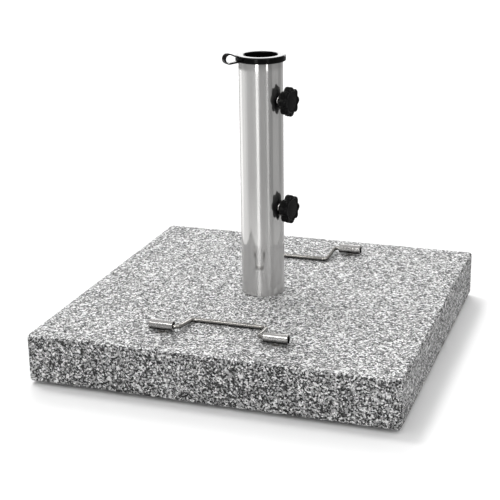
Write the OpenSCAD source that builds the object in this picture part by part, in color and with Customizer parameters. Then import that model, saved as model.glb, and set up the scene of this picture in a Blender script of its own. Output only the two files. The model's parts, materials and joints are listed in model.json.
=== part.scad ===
// Parasol base: a square granite slab carries a stainless tube that takes the parasol pole.
// A plastic reducer collar guides the pole, two clamping knobs hold it, and two folding
// bail handles lift the base. Millimetres, +Z up. The origin is on the floor under the
// middle of the slab, X runs along the front edge and Y runs towards the back.

/* [Slab] */
// Length of each side of the square stone
slab_side = 500; // [440:10:600]
// Thickness of the stone
slab_thick = 66; // [60:1:90]
// Width of the chamfer along every outer edge
slab_chamfer = 4; // [1:0.5:6]
// Height of the rubber feet
foot_height = 4; // [3:0.5:8]
// Diameter of a rubber foot
foot_d = 40; // [25:1:60]
// Distance from the slab's side to the middle of a foot
foot_inset = 55; // [35:1:80]

/* [Tube] */
// Outside diameter of the tube
tube_d = 60; // [60:0.5:64]
// Wall thickness of the tube
tube_wall = 1.5; // [1.5:0.1:2]
// Length of the tube above the stone
tube_length = 327.5; // [280:2.5:400]
// How far the tube and the handles stand to the left of the slab's middle
tube_shift = 5.5; // [0:0.5:10]

/* [Collar] */
// Diameter of the bore that takes the pole
pole_bore_d = 46; // [40:0.5:46]
// Outside diameter of the flange
flange_d = 68; // [67:0.5:72]
// Thickness of the flange
flange_thick = 8.2; // [6:0.2:9]
// Depth of the guide sleeve inside the tube
guide_depth = 32; // [20:1:34]
// Direction of the pull loop, anticlockwise from +X
loop_azimuth = 228; // [195:1:255]
// Reach of the pull loop beyond the flange
loop_reach = 22.5; // [20:0.5:28]
// Height of the pull loop at its round end
loop_height = 14.6; // [12:0.2:16]
// Width of the pull loop's strap
loop_width = 10; // [6:0.5:12]
// Thickness of the pull loop's strap
loop_strap = 1.7; // [1.4:0.1:2.2]
// Upward tilt of the pull loop
loop_tilt = 10; // [0:1:12]

/* [Knobs] */
// Direction of both knobs' axes, anticlockwise from +X
knob_azimuth = -13; // [-30:1:30]
// Height of the upper knob's axis above the stone
upper_knob_height = 275.5; // [270:0.5:280]
// Height of the lower knob's axis above the stone
lower_knob_height = 126; // [60:1:200]
// Diameter over a knob's lobes
knob_d = 40; // [36:0.5:44]
// Thickness of a knob's lobed head
knob_thick = 11; // [9:0.5:14]
// Number of lobes on a knob
knob_lobes = 8; // [6:1:9]
// Thread diameter of a knob's stud
stud_d = 8; // [8:0.5:9]

/* [Handles] */
// Distance from the slab's middle to each handle's hinge axis
hinge_offset = 185; // [150:1:195]
// Height of the hinge axis above the stone
hinge_height = 8.4; // [8:0.1:12]
// Diameter of a handle's wire
wire_d = 6; // [5:0.2:6.4]
// Distance from the hinge axis to the middle of the grip bar
bail_depth = 42; // [34:1:46]
// Distance between the corners of the grip bar
bail_grip = 105; // [95:1:120]
// How much wider the legs stand at the hinge than at the grip bar
bail_splay = 4; // [0:1:16]
// Bend radius of the wire's centre line
bend_radius = 7; // [6:0.5:8]
// Length of each hinge sleeve
sleeve_length = 33; // [28:1:40]
// Outside diameter of each hinge sleeve
sleeve_d = 13.4; // [12.5:0.1:14]

/* [Hidden] */
$fn = 96;

// Sides of the slab, used as signs on X and Y
left = -1;
right = 1;
front = -1;
back = 1;

// Cutters reach this far past the face they open, and shafts run with this radial clearance
past = 1;
running = 0.05;
hairline = 0.1;

// Levels above the floor
slab_top = foot_height + slab_thick;
tube_top = slab_top + tube_length;

// Where the axis of the tube, the bolt and the handles' middle lies on X
axis_x = -tube_shift;

// Tube and its welded base
tube_r = tube_d / 2;
tube_bore_r = tube_r - tube_wall;
tube_rim_chamfer = 0.4;
base_plate_thick = 5;

// Centre bolt, its washers and the recess that hides them
bolt_r = 6;
bolt_head_flats = 19;
bolt_head_height = 7.5;
bolt_passage_r = 7;
bolt_past_nut = 3;
nut_height = 10;
recess_r = 16;
recess_depth = 14.6;
plate_washer_r = 14.5;
plate_washer_thick = 3;
spring_washer_r = 10.5;
spring_washer_thick = 2.6;
spring_washer_gap = 1.6;
washer_bore_r = 6.5;
recess_roof = foot_height + recess_depth;
spring_washer_top = recess_roof - plate_washer_thick;
bolt_head_top = spring_washer_top - spring_washer_thick;
nut_base = slab_top + base_plate_thick;
bolt_tip = nut_base + nut_height + bolt_past_nut;

// Collar
pole_bore_r = pole_bore_d / 2;
flange_r = flange_d / 2;
flange_round = 2.2;
mouth_round = 1.2;
guide_wall = 2;
guide_ribs = 8;
guide_rib_thick = 2;
loop_root_height = 0.8 * flange_thick;
loop_end_r = loop_height / 2;
loop_centre = flange_r + loop_reach - loop_end_r;
loop_eye_start = flange_r + 1.6;

// Knobs, measured outwards along each knob's axis from the tube's axis
stud_r = stud_d / 2;
bush_r = 7.5;
bush_inner = tube_bore_r - 3;
bush_outer = tube_r + 0.6;
pad_tip = pole_bore_r + 0.8;
pad_r = stud_r - 0.25;
pad_length = 1.5;
spigot_r = 1.5;
spigot_length = 3;
stud_start = pad_tip + pad_length + hairline;
hub_start = bush_outer + 2.3;
hub_r = 12.5;
hub_length = 5.2;
hub_chamfer = 0.8;
head_start = hub_start + hub_length;
head_end = head_start + knob_thick;
head_r = knob_d / 2;
head_round = 2;
stud_embed = 9;
dish_r = 0.72 * head_r;
dish_depth = 1.2;
scallop_r = 0.3 * head_r;
scallop_depth = 0.16 * head_r;

// Handles; a bend draws the wire slightly thinner, and each straight run laps a little into it
wire_r = wire_d / 2;
bend_thinning = 0.1;
bend_lap = 0.3;
sleeve_r = sleeve_d / 2;
grip_corner = bail_grip / 2;
hinge_corner = (bail_grip + bail_splay) / 2;
sleeve_start = hinge_corner + 7.5;
sleeve_end = sleeve_start + sleeve_length;
sleeve_inner_recess = 2;
sleeve_outer_recess = 11;
sleeve_recess_r = sleeve_r - 1.4;
sleeve_edge = 0.5;
journal_end = sleeve_end - sleeve_outer_recess - 1;
rest_gap = 0.3;
rest_tilt = asin((hinge_height - wire_r - rest_gap) / bail_depth);
bail_corners = [
    [-journal_end, 0], [-hinge_corner, 0], [-grip_corner, bail_depth],
    [grip_corner, bail_depth], [hinge_corner, 0], [journal_end, 0]
];

// Anchors under the sleeves
anchor_r = 4;
anchor_depth = 35;
anchor_hole_r = 6;
anchor_hole_depth = 37;
resin_below_top = 0.6;
anchor_x = (sleeve_start + sleeve_end) / 2;

// A rectangle centred on the origin, with its four corners cut at 45 degrees
module chamfered_rect(width, height, chamfer) {
    x = width / 2;
    y = height / 2;
    polygon([
        [chamfer - x, -y], [x - chamfer, -y], [x, chamfer - y], [x, y - chamfer],
        [x - chamfer, y], [chamfer - x, y], [-x, y - chamfer], [-x, chamfer - y]
    ]);
}

// A rectangle with its lower left corner at the origin and rounded corners
module rounded_rect(width, height, radius) {
    translate([radius, 0]) square([width - 2 * radius, height]);
    translate([0, radius]) square([width, height - 2 * radius]);
    for (x = [radius, width - radius], y = [radius, height - radius])
        translate([x, y]) circle(r = radius);
}

// A ring standing on z = 0 with chamfered outer edges
module chamfered_ring(outer, inner, height, chamfer) {
    rotate_extrude()
    polygon([
        [inner, 0], [outer - chamfer, 0], [outer, chamfer],
        [outer, height - chamfer], [outer - chamfer, height], [inner, height]
    ]);
}

// A square block standing on z = 0 with every outer edge chamfered
module chamfered_block(side, height, chamfer) {
    intersection() {
        linear_extrude(height) chamfered_rect(side, side, chamfer);
        for (turn = [0, 90])
            rotate([90, 0, turn])
            linear_extrude(2 * side, center = true)
            translate([0, height / 2]) chamfered_rect(side, height, chamfer);
    }
}

// Turns a shape built along +Z into a knob's outward axis at the given height above the stone
module along_knob(height) {
    translate([axis_x, 0, slab_top + height])
    rotate([0, 0, knob_azimuth])
    rotate([0, 90, 0])
    children();
}

module granite_slab() {
    color("lightgray")
    difference() {
        translate([0, 0, foot_height]) chamfered_block(slab_side, slab_thick, slab_chamfer);
        translate([axis_x, 0, foot_height - past]) {
            cylinder(r = bolt_passage_r, h = slab_thick + 2 * past);
            cylinder(r = recess_r, h = recess_depth + past);
        }
        for (x = [left, right], y = [front, back])
            translate([axis_x + x * anchor_x, y * hinge_offset, slab_top - anchor_hole_depth])
            cylinder(r = anchor_hole_r, h = anchor_hole_depth + past);
    }
}

module foot(side_x, side_y) {
    reach = slab_side / 2 - foot_inset;
    color("dimgray")
    translate([side_x * reach, side_y * reach, 0])
    chamfered_ring(foot_d / 2, 0, foot_height, 0.8);
}

module ground_tube() {
    color("gainsboro")
    difference() {
        translate([axis_x, 0, slab_top])
        chamfered_ring(tube_r, tube_bore_r, tube_length, tube_rim_chamfer);
        for (height = [upper_knob_height, lower_knob_height])
            along_knob(height) cylinder(r = bush_r, h = tube_d);
    }
}

module tube_base_plate() {
    color("darkgray")
    translate([axis_x, 0, slab_top])
    difference() {
        cylinder(r = tube_bore_r, h = base_plate_thick);
        translate([0, 0, -past]) cylinder(r = washer_bore_r, h = base_plate_thick + 2 * past);
    }
}

// A hexagonal prism standing on z = 0, sized across its flats
module hexagon(flats, height) {
    cylinder(d = flats / cos(30), h = height, $fn = 6);
}

module base_nut() {
    color("silver")
    translate([axis_x, 0, nut_base])
    difference() {
        hexagon(bolt_head_flats, nut_height);
        translate([0, 0, -past]) cylinder(r = bolt_r + running, h = nut_height + 2 * past);
    }
}

module centre_bolt() {
    color("silver")
    translate([axis_x, 0, bolt_head_top]) {
        translate([0, 0, -bolt_head_height]) hexagon(bolt_head_flats, bolt_head_height);
        cylinder(r = bolt_r, h = bolt_tip - bolt_head_top);
    }
}

module spring_washer() {
    color("darkgray")
    translate([axis_x, 0, bolt_head_top])
    difference() {
        chamfered_ring(spring_washer_r, washer_bore_r, spring_washer_thick, 0.2);
        translate([0, -spring_washer_gap / 2, -past])
        cube([spring_washer_r + past, spring_washer_gap, spring_washer_thick + 2 * past]);
    }
}

module plate_washer() {
    color("silver")
    translate([axis_x, 0, spring_washer_top])
    chamfered_ring(plate_washer_r, washer_bore_r, plate_washer_thick, 0.4);
}

// Welded threaded bush through the tube's wall, in which a knob's stud turns
module knob_bush(height) {
    color("silver")
    along_knob(height)
    translate([0, 0, bush_inner])
    chamfered_ring(bush_r, stud_r + running, bush_outer - bush_inner, 0.4);
}

// Side view of the pull loop: a round end joined by straight sides to a root of given height
module loop_outline(end_r, root_x, root_height) {
    run = loop_centre - root_x;
    rise = root_height / 2;
    slope = asin(end_r / sqrt(run * run + rise * rise)) - atan2(rise, run);
    touch_x = loop_centre - end_r * sin(slope);
    touch_y = end_r * cos(slope);
    translate([loop_centre, 0]) circle(r = end_r);
    polygon([
        [root_x, -rise], [touch_x, -touch_y], [loop_centre, 0], [touch_x, touch_y], [root_x, rise]
    ]);
}

// Flat strap bent to a loop, which stands on edge and points outwards and a little up
module pull_loop() {
    rotate([0, 0, loop_azimuth])
    translate([flange_r, 0, flange_thick / 2])
    rotate([0, -loop_tilt, 0])
    translate([-flange_r, 0, 0])
    rotate([90, 0, 0])
    linear_extrude(loop_width, center = true)
    difference() {
        loop_outline(loop_end_r, flange_r - 3, loop_root_height);
        loop_outline(loop_end_r - loop_strap, loop_eye_start, loop_root_height - 2 * loop_strap);
    }
}

// Cross-section of the flange and of the thin guide wall under it, with rounded outer and mouth edges
module collar_profile() {
    lip = flange_r - pole_bore_r;
    top = flange_thick - mouth_round;
    translate([pole_bore_r, 0]) {
        translate([0, -guide_depth]) square([guide_wall, guide_depth + flange_round]);
        square([lip - flange_round, top]);
        translate([mouth_round, 0]) square([lip - mouth_round - flange_round, flange_thick]);
        translate([mouth_round, top]) circle(r = mouth_round);
        translate([lip - 2 * flange_round, flange_round])
        square([2 * flange_round, flange_thick - 2 * flange_round]);
        for (height = [flange_round, flange_thick - flange_round])
            translate([lip - flange_round, height]) circle(r = flange_round);
    }
}

module reducer_collar() {
    guide_r = tube_bore_r - running;
    color("black")
    translate([axis_x, 0, tube_top]) {
        rotate_extrude() collar_profile();
        pull_loop();
        intersection() {
            translate([0, 0, -guide_depth]) cylinder(r = guide_r, h = guide_depth);
            for (rib = [0 : guide_ribs - 1])
                rotate([0, 0, rib * 360 / guide_ribs])
                translate([pole_bore_r + guide_wall / 2, -guide_rib_thick / 2, -guide_depth])
                cube([guide_r, guide_rib_thick, guide_depth + flange_thick / 2]);
        }
    }
}

// Outline of the lobed head seen along its axis
module lobed_outline() {
    difference() {
        circle(r = head_r);
        for (lobe = [0 : knob_lobes - 1])
            rotate((lobe + 0.5) * 360 / knob_lobes)
            translate([head_r + scallop_r - scallop_depth, 0]) circle(r = scallop_r);
    }
}

module knob_head(height) {
    color("black")
    along_knob(height)
    difference() {
        union() {
            translate([0, 0, hub_start]) chamfered_ring(hub_r, 0, hub_length + past, hub_chamfer);
            translate([0, 0, head_start])
            intersection() {
                linear_extrude(knob_thick) lobed_outline();
                rotate_extrude() {
                    translate([head_r / 2, 0]) rounded_rect(head_r / 2, knob_thick, head_round);
                    square([head_r * 0.75, knob_thick]);
                }
            }
        }
        translate([0, 0, hub_start - past]) cylinder(r = stud_r, h = stud_embed + past);
        translate([0, 0, head_end - dish_depth]) cylinder(r = dish_r, h = dish_depth + past);
    }
}

module knob_stud(height) {
    color("silver")
    along_knob(height)
    difference() {
        translate([0, 0, stud_start]) cylinder(r = stud_r, h = hub_start + stud_embed - stud_start);
        translate([0, 0, stud_start - past])
        cylinder(r = spigot_r + running, h = spigot_length + hairline + past);
    }
}

// Nylon tip that bears on the pole and stays still while the stud turns on its spigot
module knob_pad(height) {
    color("whitesmoke")
    along_knob(height) {
        translate([0, 0, pad_tip]) cylinder(r = pad_r, h = pad_length);
        translate([0, 0, pad_tip]) cylinder(r = spigot_r, h = pad_length + spigot_length);
    }
}

function heading(a, b) = atan2(b[1] - a[1], b[0] - a[0]);
function turn_at(a, b, c) = (heading(b, c) - heading(a, b) + 540) % 360 - 180;
function trim_at(a, b, c) = bend_radius * tan(abs(turn_at(a, b, c)) / 2);

// Straight stretch of wire from a to b, shortened at each end to leave room for the bends
module wire_run(a, b, trim_a, trim_b) {
    translate(a)
    rotate([0, 0, heading(a, b)])
    rotate([0, 90, 0])
    translate([0, 0, trim_a])
    cylinder(r = wire_r, h = norm(b - a) - trim_a - trim_b);
}

// Round bend of the wire at corner b, coming from a and going on to c
module wire_bend(a, b, c) {
    turn = turn_at(a, b, c);
    side = sign(turn);
    translate(b)
    rotate([0, 0, heading(a, b)])
    translate([-trim_at(a, b, c), side * bend_radius])
    rotate([0, 0, side > 0 ? -90 : 90 + turn])
    rotate_extrude(angle = abs(turn))
    translate([bend_radius, 0]) circle(r = wire_r - bend_thinning);
}

// The bent wire of one handle in its own plane, hinge axis along X and grip bar on the +Y side
module bail_wire() {
    last = len(bail_corners) - 1;
    trims = [for (i = [0 : last]) i == 0 || i == last ? 0
        : trim_at(bail_corners[i - 1], bail_corners[i], bail_corners[i + 1]) - bend_lap];
    for (i = [0 : last - 1])
        wire_run(bail_corners[i], bail_corners[i + 1], trims[i], trims[i + 1]);
    for (i = [1 : last - 1])
        wire_bend(bail_corners[i - 1], bail_corners[i], bail_corners[i + 1]);
}

module front_handle() {
    color("gainsboro")
    translate([axis_x, -hinge_offset, slab_top + hinge_height])
    rotate([-rest_tilt, 0, 0])
    bail_wire();
}

module back_handle() {
    mirror([0, 1, 0]) front_handle();
}

// Hinge sleeve: a bearing bore in its middle, opened out at both ends
module sleeve(side_x, side_y) {
    bearing_end = sleeve_length - sleeve_outer_recess;
    color("gainsboro")
    translate([axis_x + side_x * sleeve_start, side_y * hinge_offset, slab_top + hinge_height])
    rotate([0, side_x * 90, 0])
    difference() {
        chamfered_ring(sleeve_r, wire_r + running, sleeve_length, sleeve_edge);
        translate([0, 0, -past]) cylinder(r = sleeve_recess_r, h = sleeve_inner_recess + past);
        translate([0, 0, bearing_end]) cylinder(r = sleeve_recess_r, h = sleeve_outer_recess + past);
    }
}

// Stud welded under a sleeve and set in the stone
module anchor(side_x, side_y) {
    color("silver")
    translate([axis_x + side_x * anchor_x, side_y * hinge_offset, slab_top])
    difference() {
        translate([0, 0, -anchor_depth]) cylinder(r = anchor_r, h = anchor_depth + hinge_height);
        translate([0, 0, hinge_height])
        rotate([0, 90, 0])
        cylinder(r = sleeve_r, h = sleeve_length, center = true);
    }
}

// Resin that fills the drilled hole round an anchor
module resin(side_x, side_y) {
    color("tan")
    translate([axis_x + side_x * anchor_x, side_y * hinge_offset, slab_top - anchor_hole_depth])
    difference() {
        cylinder(r = anchor_hole_r, h = anchor_hole_depth - resin_below_top);
        translate([0, 0, anchor_hole_depth - anchor_depth]) cylinder(r = anchor_r, h = anchor_depth);
    }
}

granite_slab();
foot(left, front);  // front_left_foot
foot(right, front);  // front_right_foot
foot(left, back);  // back_left_foot
foot(right, back);  // back_right_foot
ground_tube();
tube_base_plate();
base_nut();
centre_bolt();
spring_washer();
plate_washer();
knob_bush(upper_knob_height);  // upper_knob_bush
knob_bush(lower_knob_height);  // lower_knob_bush
reducer_collar();
knob_head(upper_knob_height);  // upper_knob_head
knob_stud(upper_knob_height);  // upper_knob_stud
knob_pad(upper_knob_height);  // upper_knob_pad
knob_head(lower_knob_height);  // lower_knob_head
knob_stud(lower_knob_height);  // lower_knob_stud
knob_pad(lower_knob_height);  // lower_knob_pad
front_handle();
back_handle();
sleeve(left, front);  // front_left_sleeve
sleeve(right, front);  // front_right_sleeve
sleeve(left, back);  // back_left_sleeve
sleeve(right, back);  // back_right_sleeve
anchor(left, front);  // front_left_anchor
anchor(right, front);  // front_right_anchor
anchor(left, back);  // back_left_anchor
anchor(right, back);  // back_right_anchor
resin(left, front);  // front_left_resin
resin(right, front);  // front_right_resin
resin(left, back);  // back_left_resin
resin(right, back);  // back_right_resin
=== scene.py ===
import json
import math

import bpy
from mathutils import Matrix, Vector, noise


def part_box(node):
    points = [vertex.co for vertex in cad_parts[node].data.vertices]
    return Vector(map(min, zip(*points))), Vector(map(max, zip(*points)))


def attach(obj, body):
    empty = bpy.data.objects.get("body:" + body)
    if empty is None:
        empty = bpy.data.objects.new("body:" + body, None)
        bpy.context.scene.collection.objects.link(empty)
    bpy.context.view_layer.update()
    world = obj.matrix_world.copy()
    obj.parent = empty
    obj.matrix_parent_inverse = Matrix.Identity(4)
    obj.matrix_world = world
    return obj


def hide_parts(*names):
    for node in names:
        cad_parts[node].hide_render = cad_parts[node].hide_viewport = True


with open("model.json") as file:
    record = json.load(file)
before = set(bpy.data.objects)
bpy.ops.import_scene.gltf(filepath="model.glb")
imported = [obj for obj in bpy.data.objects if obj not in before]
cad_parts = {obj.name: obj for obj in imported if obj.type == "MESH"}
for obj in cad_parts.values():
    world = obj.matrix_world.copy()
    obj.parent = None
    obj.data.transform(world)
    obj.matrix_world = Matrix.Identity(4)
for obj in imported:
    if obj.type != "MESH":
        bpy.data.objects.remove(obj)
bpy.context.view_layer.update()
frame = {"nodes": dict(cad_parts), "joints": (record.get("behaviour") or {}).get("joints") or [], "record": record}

tube_low, tube_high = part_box("ground_tube")

# Sizes in metres, angles in degrees. Places come from the frame.

# The tube's axis, a little left of the stone's middle
AXIS = Vector(((tube_low.x + tube_high.x) / 2, 0, 0))

# Camera
CAMERA_PLACE = Vector((0.5310, -1.5916, 0.6958))
CAMERA_YAW = 19.253
CAMERA_PITCH = 18.628
CAMERA_ROLL = -0.912
CAMERA_LENS = 90.69

# Stone
CHAMFER = 0.004
CORNER_ROUND = 0.006
STONE_STEP = 0.0028
ANCHOR_HOLE_R = 0.006
ANCHOR_HOLE_DEPTH = 0.037
BOLT_PASSAGE_R = 0.007
RECESS_R = 0.016
RECESS_DEPTH = 0.0146
FLAT_RINGS = (0.011, 0.007)
CUT_MARGIN = 0.01

# Wear of the stone's skin: how fine its waves and chips are, and how deep
SLOW_WAVES = 60
QUICK_WAVES = 260
CHIP_WAVES = 145
CHIP_START = 0.22
SLOW_DEPTH = 0.00012
QUICK_DEPTH = 0.00010
CHIP_DEPTH = 0.004
ARRIS_WEAR = 0.0002

# Mean width in millimetres of the granite's crystals, its black flecks and its large feldspars
CRYSTAL_SIZE = 1.9
FLECK_SIZE = 2.2
FELDSPAR_SIZE = 6

# Tube
TUBE_WALL = 0.0015
TUBE_RIM_ROUND = 0.0005
TUBE_SIDES = 256
BUSH_R = 0.0075

# Collar
COLLAR_SIDES = 192
FLANGE_THICK = 0.0082
COLLAR_GUIDE_WALL = 0.002
COLLAR_RIBS = 8
COLLAR_RIB_THICK = 0.002
COLLAR_RIB_GAP = 0.00005
FLANGE_LOWER_ROUND = 0.0012
FLANGE_UPPER_ROUND = 0.0024
MOUTH_ROUND = 0.0016
FLAT_MARGIN = 0.0004
LOOP_AZIMUTH = 228
LOOP_REACH = 0.0225
LOOP_HEIGHT = 0.0146
LOOP_TILT = 10
LOOP_WIDTH = 0.010
LOOP_STRAP = 0.0017
LOOP_EDGE = 0.0006
LOOP_ROOT_INSET = 0.0015
LOOP_ROOT_RISE = 0.0022

# Knobs, along each knob's axis from the place where its hub starts
HUB_START_R = 0.0118
HUB_END_R = 0.0132
HUB_LENGTH = 0.0052
HUB_EDGE = 0.0008
HUB_FILLET = 0.0010
SOCKET_DEPTH = 0.0092
BACK_SLOPE_R = 0.0150
HEAD_THICK = 0.011
HEAD_ROUND = 0.0026
HEAD_LOBES = 8
LOBE_DEPTH = 0.0034
LOBE_STEPS = 24
VALLEY_SHARPNESS = 1.4
DISH_R = 0.0148
DISH_DEPTH = 0.0011
DISH_CROWN = 0.0006
DISH_LIP = 0.0006
DISH_LIP_OUTSET = 0.0002
DISH_FILLET = 0.0008
STUD_R = 0.004

# Handles
WIRE_R = 0.003
BAIL_DEPTH = 0.042
GRIP_CORNER = 0.0525
HINGE_CORNER = 0.0545
BEND_RADIUS = 0.007
BEND_STEPS = 12


# ---------------------------------------------------------------- geometry helpers

def arc(centre, radius, start, end, steps):
    """Points on an arc in a plane, from angle start to angle end in degrees."""
    turns = [math.radians(start + (end - start) * i / steps) for i in range(steps + 1)]
    return [(centre[0] + radius * math.cos(t), centre[1] + radius * math.sin(t)) for t in turns]


def piece(name, points, faces, body, slot, *nodes):
    """A mesh piece that rides on a body and stands for the CAD nodes named, which it hides; the slot is not used.
    """
    mesh = bpy.data.meshes.new(name)
    mesh.from_pydata(points, [], faces)
    mesh.validate()
    made = bpy.data.objects.new(name, mesh)
    bpy.context.scene.collection.objects.link(made)
    smooth(made)
    if body:
        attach(made, body)
    if nodes:
        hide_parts(*nodes)
    return made


def smooth(made, angle=32):
    """Smooth shading that keeps edges sharper than the angle."""
    mesh = made.data
    mesh.polygons.foreach_set("use_smooth", [True] * len(mesh.polygons))
    mesh.set_sharp_from_angle(angle=math.radians(angle))


def grid_faces(rows, columns, close_rows=False, close_columns=True):
    """Quads of a grid of points stored row by row."""
    faces = []
    for i in range(rows if close_rows else rows - 1):
        for j in range(columns if close_columns else columns - 1):
            k, m = (i + 1) % rows, (j + 1) % columns
            faces.append((i * columns + j, i * columns + m, k * columns + m, k * columns + j))
    return faces


def lathe(outline, sides):
    """Points and faces of a closed outline of (radius, height) turned round the tube's axis."""
    turns = [2 * math.pi * j / sides for j in range(sides)]
    points = [AXIS + Vector((r * math.cos(t), r * math.sin(t), z)) for r, z in outline for t in turns]
    faces = [face[::-1] for face in grid_faces(len(outline), sides, close_rows=True)]
    return points, faces


def sweep(path, radius, sides, capped=True):
    """Points and faces of a round bar along a path that lies in one plane through X."""
    points = []
    normal = (path[1] - path[0]).cross(path[len(path) // 2] - path[0]).normalized()
    for i, place in enumerate(path):
        ahead = path[min(i + 1, len(path) - 1)] - path[max(i - 1, 0)]
        side = normal.cross(ahead).normalized()
        for j in range(sides):
            t = 2 * math.pi * j / sides
            points.append(place + radius * (math.cos(t) * side + math.sin(t) * normal))
    faces = grid_faces(len(path), sides)
    if capped:
        last = (len(path) - 1) * sides
        faces += [tuple(range(sides))[::-1], tuple(range(last, last + sides))]
    return points, faces


def carve(made, *cutters):
    """Cuts closed shapes, each a pair of points and faces, out of a piece's mesh."""
    for points, faces in cutters:
        cutter = piece("cutter", points, faces, None, None)
        cut = made.modifiers.new("cut", "BOOLEAN")
        cut.operation = "DIFFERENCE"
        cut.solver = "EXACT"
        cut.object = cutter
        graph = bpy.context.evaluated_depsgraph_get()
        carved = bpy.data.meshes.new_from_object(made.evaluated_get(graph), depsgraph=graph)
        made.modifiers.clear()
        made.data = carved
        bpy.data.objects.remove(cutter)
    smooth(made)


def rod(place, direction, radius, length, sides=64):
    """Points and faces of a closed cylinder from a place along a direction."""
    turn = Vector(direction).to_track_quat("Z", "Y").to_matrix().to_4x4()
    matrix = Matrix.Translation(place) @ turn
    rims = [
        matrix @ Vector((radius * math.cos(t), radius * math.sin(t), z))
        for z in (0, length)
        for t in (2 * math.pi * j / sides for j in range(sides))
    ]
    faces = grid_faces(2, sides)
    faces += [tuple(range(sides))[::-1], tuple(range(sides, 2 * sides))]
    return rims, faces


# ---------------------------------------------------------------- material helpers

def feed(tree, socket, value):
    """Links a socket to what feeds it, or sets its value."""
    if isinstance(value, bpy.types.NodeSocket):
        tree.links.new(value, socket)
    else:
        socket.default_value = value


def add(tree, kind, inputs=None, **settings):
    """A new shader node with its settings and inputs."""
    made = tree.nodes.new("ShaderNode" + kind)
    for key, value in settings.items():
        setattr(made, key, value)
    for key, value in (inputs or {}).items():
        feed(tree, made.inputs[key], value)
    return made


def material(name, **values):
    """A new material with its tree and its Principled shader, whose sockets take the values."""
    made = bpy.data.materials.new(name)
    made.use_nodes = True
    tree = made.node_tree
    shader = tree.nodes["Principled BSDF"]
    for key, value in values.items():
        shader.inputs[key.replace("_", " ")].default_value = value
    return made, tree, shader


def millimetres(tree, stretch=(1, 1, 1)):
    """The object's own coordinates in millimetres, stretched along each axis."""
    place = add(tree, "TexCoord").outputs["Object"]
    scale = [1000 * s for s in stretch]
    return add(tree, "VectorMath", {0: place, 1: scale}, operation="MULTIPLY").outputs[0]


def ramp(tree, factor, stops, interpolation="LINEAR"):
    """A ramp of grey levels or colours at places from 0 to 1."""
    made = add(tree, "ValToRGB", {"Fac": factor})
    scale = made.color_ramp
    scale.interpolation = interpolation
    while len(scale.elements) < len(stops):
        scale.elements.new(0.5)
    for element, (place, tone) in zip(scale.elements, stops):
        element.position = place
        element.color = (*tone, 1) if isinstance(tone, tuple) else (tone, tone, tone, 1)
    return made.outputs["Color"]


def mix(tree, factor, first, second, blend="MIX"):
    """A colour mix of two colours."""
    made = tree.nodes.new("ShaderNodeMix")
    made.data_type = "RGBA"
    made.blend_type = blend
    for index, value in ((0, factor), (6, first), (7, second)):
        feed(tree, made.inputs[index], value)
    return made.outputs[2]


def calculate(tree, operation, first, second=0.0):
    """A Math node's result."""
    return add(tree, "Math", {0: first, 1: second}, operation=operation).outputs[0]


def noise_at(tree, place, scale, detail=2.0, roughness=0.5):
    """Noise from 0 to 1 at a place."""
    made = add(tree, "TexNoise", {"Vector": place, "Scale": scale, "Detail": detail, "Roughness": roughness})
    return made.outputs["Fac"]


def mean(tree, first, second):
    """The mean of two values."""
    half = calculate(tree, "MULTIPLY", first, 0.5)
    return calculate(tree, "ADD", half, calculate(tree, "MULTIPLY", second, 0.5))


def bump(tree, shader, height, distance, strength=1.0):
    """Makes a height in the given distance disturb the shader's normal."""
    made = add(tree, "Bump", {"Height": height, "Distance": distance, "Strength": strength})
    feed(tree, shader.inputs["Normal"], made.outputs["Normal"])


def cells(tree, place, size):
    """Voronoi cells of a size: each cell's two random levels, and the distance from its middle."""
    made = add(tree, "TexVoronoi", {"Vector": place, "Scale": 1 / size})
    parts = add(tree, "SeparateColor", {"Color": made.outputs["Color"]})
    return parts.outputs["Red"], parts.outputs["Green"], made.outputs["Distance"]


# ---------------------------------------------------------------- materials

# The tones of the crystals on the honed top and the sawn sides, as (share of the crystals so far, tone)
HONED_TONES = [(0.0, 1.0), (0.25, 1.0), (0.28, 0.48), (0.59, 0.34), (0.63, 0.17), (0.84, 0.13), (0.88, 0.03)]
SAWN_TONES = [(0.0, 1.0), (0.13, 0.88), (0.18, 0.52), (0.52, 0.33), (0.57, 0.11), (1.0, 0.02)]


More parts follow.
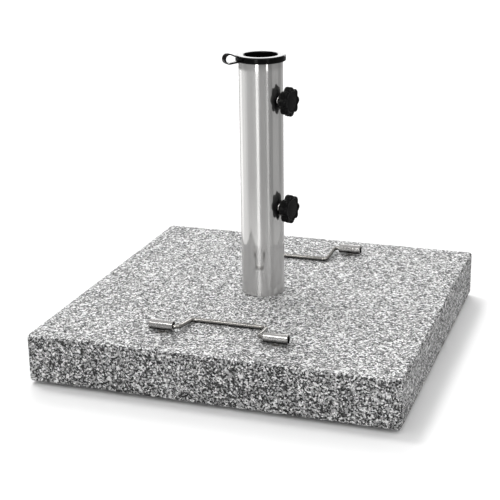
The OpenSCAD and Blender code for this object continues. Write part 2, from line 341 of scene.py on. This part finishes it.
def granite(name, tones, darks, relief):
    """Speckled grey granite: the tones of its crystals, the share of black mica, the depth of its relief."""
    made, tree, shader = material(name, Specular_IOR_Level=0.22)
    place = millimetres(tree)
    bend = add(tree, "TexNoise", {"Vector": place, "Scale": 0.45, "Detail": 2.0})
    bend = add(tree, "VectorMath", {0: bend.outputs["Color"], 1: (0.5, 0.5, 0.5)}, operation="SUBTRACT")
    bend = add(tree, "VectorMath", {0: bend.outputs[0], "Scale": 3.2}, operation="SCALE")
    place = add(tree, "VectorMath", {0: place, 1: bend.outputs[0]}).outputs[0]
    kind, shade, middle = cells(tree, place, CRYSTAL_SIZE)
    fleck = cells(tree, place, FLECK_SIZE)[0]
    large, _, large_middle = cells(tree, place, FELDSPAR_SIZE)
    cloud = noise_at(tree, place, 0.035, 3.0)

    crystal = ramp(tree, kind, tones)
    rim = calculate(tree, "MULTIPLY", large_middle, 0.25)
    feldspar = ramp(tree, calculate(tree, "SUBTRACT", large, rim), [(0.82, 0.0), (0.84, 1.0)])
    crystal = mix(tree, calculate(tree, "MULTIPLY", feldspar, 0.7), crystal, (*(tones[0][1],) * 3, 1))
    veil = ramp(tree, noise_at(tree, place, 0.9, 4.0, 0.65), [(0.25, 0.74), (0.75, 1.10)])
    crystal = mix(tree, 1.0, crystal, veil, "MULTIPLY")
    mica = calculate(tree, "ADD", fleck, calculate(tree, "MULTIPLY", cloud, 0.18))
    mica = ramp(tree, mica, [(darks + 0.07, 1.0), (darks + 0.09, 0.0)])
    feed(tree, shader.inputs["Base Color"], mix(tree, mica, crystal, (0.020, 0.020, 0.021, 1)))

    gloss = ramp(tree, shade, [(0.0, 0.50), (0.5, 0.62), (1.0, 0.75)])
    feed(tree, shader.inputs["Roughness"], gloss)
    pits = ramp(tree, noise_at(tree, place, 1.3, 4.0, 0.7), [(0.3, 0.0), (0.7, 1.0)])
    height = mix(tree, 0.5, pits, middle)
    bump(tree, shader, height, relief)
    return made


def polished_tube():
    """Stainless steel polished along the tube: mirror-like with a haze drawn out upwards."""
    made, tree, shader = material("tube_polished_steel", Metallic=1.0)
    place = millimetres(tree, (1, 1, 0.012))
    lines = noise_at(tree, place, 1.6, 5.0, 0.7)
    blotch = noise_at(tree, millimetres(tree, (1, 1, 0.25)), 0.05, 3.0)
    tone = ramp(tree, lines, [(0.3, (0.60, 0.595, 0.585)), (0.7, (0.68, 0.675, 0.665))])
    feed(tree, shader.inputs["Base Color"], tone)
    level = mean(tree, lines, blotch)
    feed(tree, shader.inputs["Roughness"], ramp(tree, level, [(0.3, 0.02), (0.7, 0.04)]))
    bump(tree, shader, lines, 0.000005)

    haze = add(tree, "BsdfPrincipled", {"Base Color": tone, "Metallic": 1.0, "Roughness": 0.34})
    haze.inputs["Anisotropic"].default_value = 1.0
    haze.inputs["Anisotropic Rotation"].default_value = 0.25
    around = add(tree, "Tangent", direction_type="RADIAL", axis="Z")
    feed(tree, haze.inputs["Tangent"], around.outputs[0])
    feed(tree, haze.inputs["Normal"], shader.inputs["Normal"].links[0].from_socket)
    both = add(tree, "MixShader", {0: 0.28, 1: shader.outputs[0], 2: haze.outputs[0]})
    feed(tree, tree.nodes["Material Output"].inputs["Surface"], both.outputs[0])
    return made


def underside(tree):
    """How much the surface faces down in the object's own frame, from 0 to 1, used to paint shade on undersides.
    """
    normal = add(tree, "TexCoord").outputs["Normal"]
    upright = add(tree, "SeparateXYZ", {"Vector": normal}).outputs["Z"]
    span = {"Value": upright, "From Min": 0.05, "From Max": -0.45}
    return add(tree, "MapRange", span).outputs["Result"]


def satin_steel(name, grain, tone, roughness, underside_shade):
    """Drawn or turned steel whose fine lines run along the grain's short axis, with painted shade darkening its
    underside.
    """
    made, tree, shader = material(name, Metallic=1.0)
    lines = noise_at(tree, millimetres(tree, grain), 2.2, 4.0, 0.7)
    stain = noise_at(tree, millimetres(tree), 0.12, 3.0)
    low, high = (tuple(t * k for t in tone) for k in (0.82, 1.08))
    unshaded_tone = ramp(tree, lines, [(0.3, low), (0.7, high)])
    # Painted shade: the downward-facing side is darkened towards near black, standing in for the shadow under the
    # wire and sleeves.
    painted_shade = calculate(tree, "MULTIPLY", underside(tree), underside_shade)
    feed(tree, shader.inputs["Base Color"], mix(tree, painted_shade, unshaded_tone, (0.016, 0.015, 0.014, 1)))
    gloss = ramp(tree, mean(tree, lines, stain), [(0.3, roughness * 0.75), (0.7, roughness * 1.35)])
    feed(tree, shader.inputs["Roughness"], gloss)
    bump(tree, shader, lines, 0.00001)
    return made


def black_plastic(name, tone, roughness, grain):
    """Black moulded plastic with a fine surface grain and faint handling marks."""
    made, tree, shader = material(name, IOR=1.5, Specular_IOR_Level=0.07)
    place = millimetres(tree)
    speck = noise_at(tree, place, 3.5, 3.0, 0.6)
    marks = noise_at(tree, place, 0.25, 4.0, 0.6)
    colour = ramp(tree, marks, [(0.3, tone * 0.8), (0.7, tone * 1.25)])
    feed(tree, shader.inputs["Base Color"], colour)
    gloss = ramp(tree, marks, [(0.3, roughness * 0.8), (0.7, roughness * 1.25)])
    feed(tree, shader.inputs["Roughness"], gloss)
    bump(tree, shader, speck, grain)
    return made


def rubber():
    """Matt black rubber with a moulded texture and a little stone dust."""
    made, tree, shader = material("foot_rubber")
    place = millimetres(tree)
    dust = noise_at(tree, place, 0.5, 4.0, 0.65)
    feed(tree, shader.inputs["Base Color"], ramp(tree, dust, [(0.45, 0.028), (0.75, 0.075)]))
    feed(tree, shader.inputs["Roughness"], ramp(tree, dust, [(0.3, 0.7), (0.7, 0.9)]))
    bump(tree, shader, noise_at(tree, place, 2.0, 3.0), 0.0001)
    return made


def cast_resin():
    """Sandy setting resin, uneven and slightly porous."""
    made, tree, shader = material("cast_resin")
    place = millimetres(tree)
    grit = noise_at(tree, place, 1.4, 4.0, 0.7)
    colour = ramp(tree, grit, [(0.3, (0.34, 0.32, 0.28)), (0.7, (0.52, 0.50, 0.45))])
    feed(tree, shader.inputs["Base Color"], colour)
    feed(tree, shader.inputs["Roughness"], ramp(tree, grit, [(0.3, 0.55), (0.7, 0.8)]))
    bump(tree, shader, grit, 0.0003)
    return made


def nylon():
    """Natural nylon, slightly waxy, with turning lines."""
    made, tree, shader = material("pad_nylon", Subsurface_Weight=0.15)
    lines = noise_at(tree, millimetres(tree), 3.0, 3.0)
    colour = ramp(tree, lines, [(0.3, (0.72, 0.70, 0.64)), (0.7, (0.84, 0.82, 0.77))])
    feed(tree, shader.inputs["Base Color"], colour)
    feed(tree, shader.inputs["Roughness"], ramp(tree, lines, [(0.3, 0.38), (0.7, 0.5)]))
    bump(tree, shader, lines, 0.00003)
    return made


def paint(made, *materials):
    """Gives an object its materials."""
    made.data.materials.clear()
    for one in materials:
        made.data.materials.append(one)


# ---------------------------------------------------------------- the stone

def square_loop(half, corner, straight, bend):
    """Points round a square with rounded corners: straight steps on each side, bend steps on each corner."""
    run = half - corner
    points = []
    for side in range(4):
        turn = Matrix.Rotation(math.radians(90 * side), 2)
        for i in range(straight):
            points.append(turn @ Vector((half, -run + 2 * run * i / straight)))
        for i in range(bend):
            t = math.radians(90 * i / bend)
            points.append(turn @ Vector((run + corner * math.cos(t), run + corner * math.sin(t))))
    return points


def stone_slab(materials):
    """The slab with worn, slightly chipped arrises and sawn sides, carved where the hardware goes."""
    low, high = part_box("granite_slab")
    half = high.x
    straight = round(2 * half / STONE_STEP)
    bend = 5
    bevel = 6
    upper = [(CHAMFER * (1 - math.sin(t)), high.z - CHAMFER * (1 - math.cos(t)))
             for t in (math.pi / 2 * i / bevel for i in range(bevel + 1))]
    lower = [(inset, low.z + high.z - z) for inset, z in reversed(upper)]
    rises = round((high.z - low.z - 2 * CHAMFER) / (1.4 * STONE_STEP))
    top_side, bottom_side = high.z - CHAMFER, low.z + CHAMFER
    walls = [(0.0, top_side + (bottom_side - top_side) * i / rises) for i in range(1, rises)]
    flats = [(inset, high.z) for inset in FLAT_RINGS]
    profile = flats + upper + walls + lower + [(inset, low.z) for inset, _ in reversed(flats)]

    rows = []
    for inset, z in profile:
        corner = max(CORNER_ROUND - inset, 0.001)
        outline = square_loop(half - inset, corner, straight, bend)
        rows.append([weathered(Vector((x, y, z)), inset, half, low.z, high.z) for x, y in outline])
    columns = len(rows[0])
    points = [p for row in rows for p in row]
    faces = [face[::-1] for face in grid_faces(len(rows), columns)]
    last = (len(rows) - 1) * columns
    faces += [tuple(range(columns)), tuple(range(last, last + columns))[::-1]]
    made = piece("stone_slab", points, faces, "base", "granite", "granite_slab")

    holes = []
    for corner in ("front_left", "front_right", "back_left", "back_right"):
        a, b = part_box(corner + "_anchor")
        foot = Vector(((a.x + b.x) / 2, (a.y + b.y) / 2, high.z - ANCHOR_HOLE_DEPTH))
        holes.append(rod(foot, (0, 0, 1), ANCHOR_HOLE_R, ANCHOR_HOLE_DEPTH + CUT_MARGIN, 48))
    under = AXIS + Vector((0, 0, low.z - CUT_MARGIN))
    holes.append(rod(under, (0, 0, 1), BOLT_PASSAGE_R, high.z - low.z + 2 * CUT_MARGIN, 48))
    holes.append(rod(under, (0, 0, 1), RECESS_R, RECESS_DEPTH + CUT_MARGIN, 96))
    carve(made, *holes)
    paint(made, *materials)
    for face in made.data.polygons:
        face.material_index = 0 if face.normal.z > 0.8 else 1
    return made


def weathered(place, inset, half, bottom, top):
    """A point of the slab's skin, moved in a little where the arris is worn and the sawn side uneven."""
    if inset > CHAMFER:
        return place
    slow = noise.noise(place * SLOW_WAVES)
    quick = noise.noise(place * QUICK_WAVES + Vector((7, 3, 1)))
    chip = max(0.0, noise.noise(place * CHIP_WAVES + Vector((1, 9, 4))) - CHIP_START)
    edge = min(top - place.z, place.z - bottom)
    on_arris = inset > 0
    depth = SLOW_DEPTH * (1 + slow) + QUICK_DEPTH * (1 + quick)
    if on_arris or edge < 1.6 * CHAMFER:
        fade = 1.0 if on_arris else 1 - (edge - CHAMFER) / (0.6 * CHAMFER)
        depth += max(0.0, fade) * (ARRIS_WEAR * (1 + slow) + CHIP_DEPTH * chip)
    inward = Vector((-place.x, -place.y, 0))
    if abs(place.x) > abs(place.y):
        inward.y = 0 if half - abs(place.y) > CORNER_ROUND else inward.y
    else:
        inward.x = 0 if half - abs(place.x) > CORNER_ROUND else inward.x
    inward.normalize()
    if on_arris:
        inward.z = -1 if place.z > (top + bottom) / 2 else 1
        inward.normalize()
    return place + depth * inward


# ---------------------------------------------------------------- the tube and collar

def steel_tube(finish):
    """The ground tube with rounded rims and the two holes that take the bushes."""
    low, high, rim = tube_low, tube_high, TUBE_RIM_ROUND
    outer = high.x - AXIS.x
    inner = outer - TUBE_WALL
    outline = arc((outer - rim, high.z - rim), rim, 0, 90, 4)
    outline += arc((inner + rim, high.z - rim), rim, 90, 180, 4)
    outline += [(inner, high.z - 2 * rim), (inner, low.z + 2 * rim)]
    outline += arc((inner + rim, low.z + rim), rim, 180, 270, 4)
    outline += arc((outer - rim, low.z + rim), rim, 270, 360, 4)
    outline += [(outer, low.z + 2 * rim), (outer, high.z - 2 * rim)]
    points, faces = lathe(outline, TUBE_SIDES)
    made = piece("steel_tube", points, faces, "base", "tube_steel", "ground_tube")
    holes = []
    for joint in knob_joints():
        out = Vector(joint["axis"])
        holes.append(rod(AXIS + Vector((0, 0, joint["pos_m"][2])), out, BUSH_R, 2 * outer))
    carve(made, *holes)
    paint(made, finish)
    return made


def knob_joints():
    """The joints that the two knobs turn on."""
    return [joint for joint in frame["joints"] if joint["name"].endswith("_knob_turn")]


def collar(finish):
    """The reducer collar: rounded flange, thin guide wall with ribs, and the pull loop."""
    low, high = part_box("reducer_collar")
    tube_top = tube_high.z
    bore = frame["record"]["mounts"][0]["dims"]["r_mm"] / 1000
    flange = high.x - AXIS.x
    top = tube_top + FLANGE_THICK
    lower, upper = FLANGE_LOWER_ROUND, FLANGE_UPPER_ROUND
    outline = [(bore, low.z), (bore + COLLAR_GUIDE_WALL, low.z), (bore + COLLAR_GUIDE_WALL, tube_top)]
    outline += [(flange - lower - FLAT_MARGIN, tube_top)]
    outline += arc((flange - lower, tube_top + lower), lower, -90, 0, 5)
    outline += [(flange, tube_top + lower + FLAT_MARGIN), (flange, top - upper - FLAT_MARGIN)]
    outline += arc((flange - upper, top - upper), upper, 0, 90, 8)
    outline += [(flange - upper - FLAT_MARGIN, top), (bore + MOUTH_ROUND + FLAT_MARGIN, top)]
    outline += arc((bore + MOUTH_ROUND, top - MOUTH_ROUND), MOUTH_ROUND, 90, 180, 8)
    outline += [(bore, top - MOUTH_ROUND - FLAT_MARGIN)]
    points, faces = lathe(outline, COLLAR_SIDES)
    for rib in range(COLLAR_RIBS):
        turn = Matrix.Rotation(2 * math.pi * rib / COLLAR_RIBS, 3, "Z")
        inner = bore + COLLAR_GUIDE_WALL / 2
        outer = tube_high.x - AXIS.x - TUBE_WALL - COLLAR_RIB_GAP
        half = COLLAR_RIB_THICK / 2
        corners = [(inner, -half), (outer, -half), (outer, half), (inner, half)]
        start = len(points)
        levels = (low.z, tube_top + FLANGE_THICK / 4)
        points += [AXIS + turn @ Vector((x, y, z)) for z in levels for x, y in corners]
        faces += [tuple(start + i for i in face) for face in (
            (3, 2, 1, 0), (4, 5, 6, 7), (0, 1, 5, 4), (1, 2, 6, 5), (2, 3, 7, 6), (3, 0, 4, 7))]
    made = piece("reducer_collar_body", points, faces, "collar", "collar_plastic", "reducer_collar")
    paint(made, finish)
    strap = pull_loop(flange, tube_top + FLANGE_THICK / 2)
    paint(strap, finish)
    return made


def pull_loop(flange, middle):
    """A flat strap bent into a loop that stands on edge and points outwards and a little up."""
    end_r = LOOP_HEIGHT / 2 - LOOP_STRAP / 2
    centre = flange + LOOP_REACH - LOOP_HEIGHT / 2
    root = flange - LOOP_ROOT_INSET
    run = centre - root
    rise = LOOP_ROOT_RISE
    slope = math.degrees(math.asin(end_r / math.hypot(run, rise))) - math.degrees(math.atan2(rise, run))
    line = [Vector((root, rise))]
    line += [Vector(p) for p in arc((centre, 0), end_r, 90 + slope, -90 - slope, 28)]
    line.append(Vector((root, -rise)))
    rows = []
    for i, point in enumerate(line):
        ahead = (line[min(i + 1, len(line) - 1)] - line[max(i - 1, 0)]).normalized()
        outward = Vector((-ahead.y, ahead.x))
        rows.append(strap_section(point, outward))
    turn = Matrix.Translation(AXIS + Vector((0, 0, middle)))
    turn = turn @ Matrix.Rotation(math.radians(LOOP_AZIMUTH), 4, "Z") @ Matrix.Translation((flange, 0, 0))
    turn = turn @ Matrix.Rotation(math.radians(-LOOP_TILT), 4, "Y") @ Matrix.Translation((-flange, 0, 0))
    points = [turn @ p for row in rows for p in row]
    count = len(rows[0])
    faces = grid_faces(len(rows), count)
    last = (len(rows) - 1) * count
    faces += [tuple(range(count))[::-1], tuple(range(last, last + count))]
    return piece("pull_loop", points, faces, "collar", "collar_plastic")


def strap_section(point, outward):
    """The strap's rounded cross-section round a point of its middle line."""
    outline = []
    for across, up, start in ((1, 1, 0), (-1, 1, 90), (-1, -1, 180), (1, -1, 270)):
        centre = (across * (LOOP_WIDTH / 2 - LOOP_EDGE), up * (LOOP_STRAP / 2 - LOOP_EDGE))
        outline += arc(centre, LOOP_EDGE, start, start + 90, 3)
    return [Vector((point.x + t * outward.x, w, point.y + t * outward.y)) for w, t in outline]


# ---------------------------------------------------------------- the knobs

def knob_head(prefix, joint, finish):
    """A lobed clamping knob: hub, rounded lobes, and a smooth dished face."""
    low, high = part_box(prefix + "_head")
    full = (high.z - low.z) / 2
    back = HUB_LENGTH
    front = back + HEAD_THICK
    hub_edge = arc((HUB_START_R - HUB_EDGE, HUB_EDGE), HUB_EDGE, -90, 0, 3)
    hub_fillet = arc((HUB_END_R + HUB_FILLET, back - HUB_FILLET), HUB_FILLET, 180, 90, 3)
    back_round = arc((full - HEAD_ROUND, back + HEAD_ROUND), HEAD_ROUND, -90, 0, 6)
    front_round = arc((full - HEAD_ROUND, front - HEAD_ROUND), HEAD_ROUND, 0, 90, 8)
    dish_lip = arc((DISH_R + DISH_LIP_OUTSET, front - DISH_LIP), DISH_LIP, 90, 150, 3)
    dish_fillet = arc((DISH_R - 2 * DISH_FILLET, front - DISH_DEPTH + DISH_FILLET), DISH_FILLET, -30, -90, 3)
    # Each point of the outline is (radius, height, how much of the lobes' depth shows there)
    outline = [(STUD_R, SOCKET_DEPTH, 0.0), (STUD_R, 0.0, 0.0)]
    outline += [(r, z, 0.0) for r, z in hub_edge + hub_fillet]
    outline += [(BACK_SLOPE_R, back, 0.45)]
    outline += [(r, z, 1.0) for r, z in back_round + front_round]
    outline += [(DISH_R + 2 * DISH_LIP, front, 0.35)]
    outline += [(r, z, 0.0) for r, z in dish_lip + dish_fillet]
    crown = [(k, DISH_CROWN * (1 - k * k)) for k in (0.7, 0.5, 0.3, 0.12)]
    outline += [(DISH_R * k, front - DISH_DEPTH + rise, 0.0) for k, rise in crown]
    sides = HEAD_LOBES * LOBE_STEPS
    points = []
    for radius, height, lobed in outline:
        for j in range(sides):
            t = 2 * math.pi * j / sides
            valley = (0.5 - 0.5 * math.cos(HEAD_LOBES * t)) ** VALLEY_SHARPNESS
            r = radius * (1 - lobed * LOBE_DEPTH / full * valley)
            points.append(Vector((r * math.cos(t), r * math.sin(t), height)))
    faces = grid_faces(len(outline), sides)
    points += [Vector((0, 0, outline[0][1])), Vector((0, 0, outline[-1][1] + 0.00001))]
    socket, middle, last = len(points) - 2, len(points) - 1, (len(outline) - 1) * sides
    for j in range(sides):
        k = (j + 1) % sides
        faces.append((socket, k, j))
        faces.append((middle, last + j, last + k))
    out = Vector(joint["axis"])
    place = Matrix.Translation(joint["pos_m"]) @ out.to_track_quat("Z", "Y").to_matrix().to_4x4()
    points = [place @ p for p in points]
    made = piece(prefix + "_moulding", points, faces, joint["child"], "knob_plastic", prefix + "_head")
    paint(made, finish)
    return made


# ---------------------------------------------------------------- the handles

def bail_path():
    """The wire's middle line in the handle's plane: hinge axis along X, grip bar on the +Y side."""
    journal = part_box("front_handle")[1].x - AXIS.x
    corners = [
        (-journal, 0), (-HINGE_CORNER, 0), (-GRIP_CORNER, BAIL_DEPTH),
        (GRIP_CORNER, BAIL_DEPTH), (HINGE_CORNER, 0), (journal, 0),
    ]
    corners = [Vector(c) for c in corners]
    path = [corners[0]]
    for before, corner, after in zip(corners, corners[1:], corners[2:]):
        to_before, to_after = (before - corner).normalized(), (after - corner).normalized()
        half = to_before.angle(to_after) / 2
        centre = corner + (to_before + to_after).normalized() * (BEND_RADIUS / math.sin(half))
        first = corner + to_before * (BEND_RADIUS / math.tan(half))
        second = corner + to_after * (BEND_RADIUS / math.tan(half))
        sweep_angle = (second - centre).angle_signed(first - centre)
        for i in range(BEND_STEPS + 1):
            path.append(centre + Matrix.Rotation(sweep_angle * i / BEND_STEPS, 2) @ (first - centre))
    path.append(corners[-1])
    return path


def handle(name, side, finish):
    """One folding bail handle bent from round wire. side is -1 for the front one and 1 for the back one."""
    joint = next(j for j in frame["joints"] if j["child"] == name)
    pivot = Vector(joint["pos_m"])
    bar_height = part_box(name)[0].z + WIRE_R
    tilt = math.asin((pivot.z - bar_height) / BAIL_DEPTH)
    path = [
        Vector((pivot.x + p.x, pivot.y - side * p.y * math.cos(tilt), pivot.z - p.y * math.sin(tilt)))
        for p in bail_path()
    ]
    points, faces = sweep(path, WIRE_R, 32)
    if side < 0:
        faces = [face[::-1] for face in faces]
    made = piece(name + "_wire", points, faces, joint["child"], "wire_steel", name)
    paint(made, finish)
    return made


# ---------------------------------------------------------------- the studio

# Reflector panels round the object, seen only in reflections. Each is (start, end, near, far, wall):
# angles anticlockwise from the direction of the camera, then how bright it is near, further out and above.
PANELS = [
    (-180, -142, 0.65, 0.80, 0.20), (-142, -118, 1.40, 1.65, 0.30), (-118, -92, 1.15, 1.15, 0.40),
    (-92, -78, 1.15, 0.93, 0.35), (-78, -60, 0.92, 0.70, 0.40), (-60, -27, 0.95, 0.64, 0.45),
    (-27, -14, 1.02, 0.88, 6.20), (-14, -8, 0.70, 0.56, 0.40), (-8, 24, 0.56, 0.41, 0.30),
    (24, 29, 0.56, 0.46, 0.45), (29, 36, 0.72, 0.62, 2.80), (36, 60, 0.55, 0.34, 0.25),
    (60, 100, 0.66, 0.52, 0.35), (100, 125, 0.62, 0.40, 0.30), (125, 180, 0.60, 0.50, 0.40),
]
# Their outline, as distance from the middle and height, and the distances between which near fades to far
PANEL_RINGS = [(0.36, 0.003), (2.1, 0.003), (2.1, 1.6)]
PANEL_FADE = (0.46, 0.86)

# Bright strips, seen only in reflections: middle and half width as angles, low and high edge, brightness
STRIP_BACK = (180, 40, 0.55, 1.1, 3.9)
STRIP_FRONT = (0, 55, 2.3, 3.0, 11.0)

# The even white surround's strength, and the distant lights: direction they come from, strength, width
SURROUND = 0.80
KEY_LIGHT = ((-0.45, 0.25, 1.0), 0.84, 14)
BACK_LIGHT = ((-0.50, 1.0, 1.05), 0.85, 24)


def camera():
    """The camera at the photograph's viewing angle."""
    yaw, pitch, roll = (math.radians(a) for a in (CAMERA_YAW, CAMERA_PITCH, CAMERA_ROLL))
    ahead = Vector((-math.sin(yaw) * math.cos(pitch), math.cos(yaw) * math.cos(pitch), -math.sin(pitch)))
    level = Vector((math.cos(yaw), math.sin(yaw), 0))
    upright = level.cross(ahead)
    right = math.cos(roll) * level + math.sin(roll) * upright
    up = -math.sin(roll) * level + math.cos(roll) * upright
    data = bpy.data.cameras.new("camera")
    data.lens = CAMERA_LENS
    data.sensor_width = 36
    data.clip_end = 50
    made = bpy.data.objects.new("camera", data)
    turn = Matrix((right, up, -ahead)).transposed().to_4x4()
    made.matrix_world = Matrix.Translation(CAMERA_PLACE) @ turn
    bpy.context.scene.collection.objects.link(made)
    bpy.context.scene.camera = made


def floor():
    """A plain white floor."""
    size = 30
    corners = [(-size, -size, 0), (size, -size, 0), (size, size, 0), (-size, size, 0)]
    made = piece("floor", corners, [(0, 1, 2, 3)], None, None)
    white, tree, shader = material("floor_white", Roughness=1.0)
    shader.inputs["Specular IOR Level"].default_value = 0.0
    soft = noise_at(tree, millimetres(tree), 0.004, 2.0)
    feed(tree, shader.inputs["Base Color"], ramp(tree, soft, [(0.3, 0.98), (0.7, 1.0)]))
    paint(made, white)


def glow(name, near, far):
    """A plain emitting material for a reflector panel, as bright as near by the object and as far beyond."""
    made = bpy.data.materials.new(name)
    made.use_nodes = True
    tree = made.node_tree
    tree.nodes.clear()
    place = add(tree, "TexCoord").outputs["Object"]
    distance = add(tree, "VectorMath", {0: place}, operation="LENGTH").outputs["Value"]
    span = {"From Min": PANEL_FADE[0], "From Max": PANEL_FADE[1], "To Min": near, "To Max": far}
    strength = add(tree, "MapRange", {"Value": distance, **span}).outputs["Result"]
    light = add(tree, "Emission", {"Strength": strength})
    end = add(tree, "OutputMaterial")
    feed(tree, end.inputs["Surface"], light.outputs[0])
    return made


def reflectors():
    """Light and dark studio panels: each lies on the floor near the stone and rises further out."""
    towards_camera = math.atan2(CAMERA_PLACE.y, CAMERA_PLACE.x)
    outlines = list(zip(PANEL_RINGS, PANEL_RINGS[1:]))
    for index, (start, end, near, far, wall) in enumerate(PANELS):
        steps = max(2, round((end - start) / 3))
        turns = [towards_camera + math.radians(start + (end - start) * i / steps) for i in range(steps + 1)]
        for part, outline, glows in zip("ab", outlines, [(near, far), (wall, wall)]):
            points = [(r * math.cos(t), r * math.sin(t), z) for r, z in outline for t in turns]
            faces = grid_faces(2, len(turns), close_columns=False)
            stage_panel("panel_%02d_%s" % (index, part), points, faces, *glows)


def stage_panel(name, points, faces, near, far):
    """A panel that only reflections see."""
    made = piece(name, points, faces, None, None)
    paint(made, glow(name + "_glow", near, far))
    made.visible_camera = False
    made.visible_diffuse = False
    made.visible_shadow = False
    made.visible_transmission = False


def bright_strip(name, middle, spread, low, high, strength):
    """A bright curved strip above the horizon, round an angle from the direction of the camera."""
    start = math.degrees(math.atan2(CAMERA_PLACE.y, CAMERA_PLACE.x)) + middle - spread
    steps = 20
    turns = [math.radians(start + 2 * spread * i / steps) for i in range(steps + 1)]
    radius = PANEL_RINGS[-1][0] - 0.02
    points = [(radius * math.cos(t), radius * math.sin(t), z) for z in (low, high) for t in turns]
    stage_panel(name, points, grid_faces(2, len(turns), close_columns=False), strength, strength)


def lights():
    """A soft key light from the left, a wider one from behind on the left, and an even white surround."""
    scene = bpy.context.scene
    world = bpy.data.worlds.new("studio")
    scene.world = world
    world.use_nodes = True
    surround = world.node_tree.nodes["Background"]
    surround.inputs["Color"].default_value = (1, 1, 1, 1)
    surround.inputs["Strength"].default_value = SURROUND
    distant_light("key", *KEY_LIGHT)
    distant_light("back", *BACK_LIGHT)
    scene.view_settings.view_transform = "Standard"


def distant_light(name, towards, energy, angle):
    """A distant light that shines from a direction, as wide as the angle. Reflections don't show it."""
    sun = bpy.data.lights.new(name, "SUN")
    sun.energy = energy
    sun.angle = math.radians(angle)
    made = bpy.data.objects.new(name, sun)
    made.rotation_mode = "QUATERNION"
    made.rotation_quaternion = Vector(towards).to_track_quat("Z", "Y")
    made.visible_glossy = False
    bpy.context.scene.collection.objects.link(made)


# ---------------------------------------------------------------- assembly

camera()
floor()
lights()
reflectors()
bright_strip("strip_back", *STRIP_BACK)
bright_strip("strip_front", *STRIP_FRONT)

tube_finish = polished_tube()
# The last number of each steel finish is how strongly painted shade darkens its underside.
wire_finish = satin_steel("wire_satin_steel", (0.02, 1, 1), (0.31, 0.30, 0.285), 0.18, 0.95)
turned_finish = satin_steel("sleeve_turned_steel", (1, 0.1, 0.1), (0.50, 0.49, 0.48), 0.16, 0.95)
zinc_finish = satin_steel("zinc_plate", (1, 1, 1), (0.60, 0.62, 0.64), 0.30, 0.2)
collar_finish = black_plastic("collar_gloss_black", 0.003, 0.13, 0.00001)
knob_finish = black_plastic("knob_satin_black", 0.003, 0.30, 0.00004)
rubber_finish = rubber()
resin_finish = cast_resin()
nylon_finish = nylon()

honed = granite("granite_honed", HONED_TONES, 0.03, 0.0004)
sawn = granite("granite_sawn", SAWN_TONES, 0.17, 0.0006)
stone_slab((honed, sawn))
steel_tube(tube_finish)
collar(collar_finish)
for knob_joint in knob_joints():
    knob_head(knob_joint["child"], knob_joint, knob_finish)
handle("front_handle", -1, wire_finish)
handle("back_handle", 1, wire_finish)

finishes = {
    "tube_steel": tube_finish, "wire_steel": wire_finish, "bright_steel": turned_finish,
    "zinc_steel": zinc_finish, "collar_plastic": collar_finish, "knob_plastic": knob_finish,
    "rubber": rubber_finish, "resin": resin_finish, "nylon": nylon_finish,
}
for subpart in frame["record"]["subparts"]:
    node = frame["nodes"][subpart["node"]]
    if not node.hide_render and subpart["material_slot"] in finishes:
        paint(node, finishes[subpart["material_slot"]])
